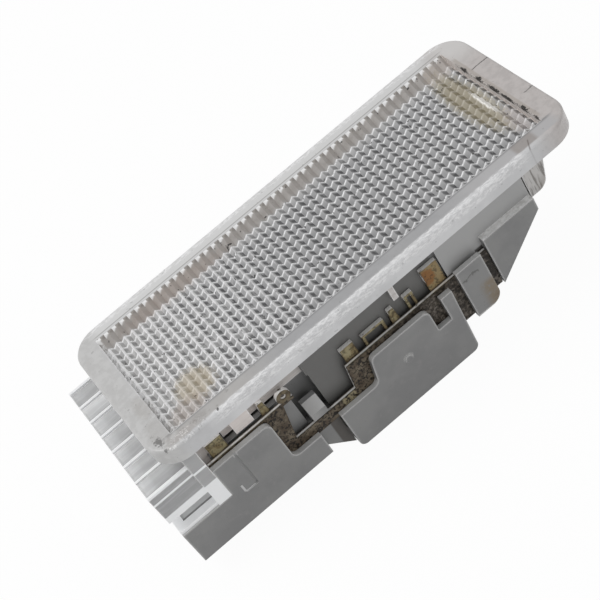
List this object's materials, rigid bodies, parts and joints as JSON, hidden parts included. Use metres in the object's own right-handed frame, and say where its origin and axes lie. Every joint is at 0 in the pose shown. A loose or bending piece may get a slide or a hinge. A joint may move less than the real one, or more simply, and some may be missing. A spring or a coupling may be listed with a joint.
{
  "type": "trunk light",
  "caption": "Snap-in luggage compartment lamp: clear prism lens with a flange and hooked heel on a stepped housing with stamped contact rails and a festoon bulb.",
  "frame": {"origin": "centre of the flange's underside, where it lies on the trim panel", "axes": "+X along the lamp from the hooked heel to the retaining spring, +Y across it to the far rail, +Z out of the lens"},
  "size_m": [0.085, 0.0334, 0.0275],
  "materials": {
    "lens_plastic": "clear moulded, scuffed",
    "housing_plastic": "grey moulded, dusty",
    "rail_steel": "stamped sheet, rusted and pitted",
    "spring_steel": "rolled strip, tarnished",
    "bulb_glass": "clear",
    "cap_brass": "drawn, dull",
    "filament_wire": "drawn wire"
  },
  "bodies": {
    "root": {"lens": "lens_plastic", "housing": "housing_plastic", "contact_rail_near": "rail_steel", "contact_rail_far": "rail_steel", "retaining_spring": "spring_steel", "bulb_glass": "bulb_glass", "bulb_cap_left": "cap_brass", "bulb_cap_right": "cap_brass", "bulb_filament": "filament_wire"}
  },
  "joints": []
}
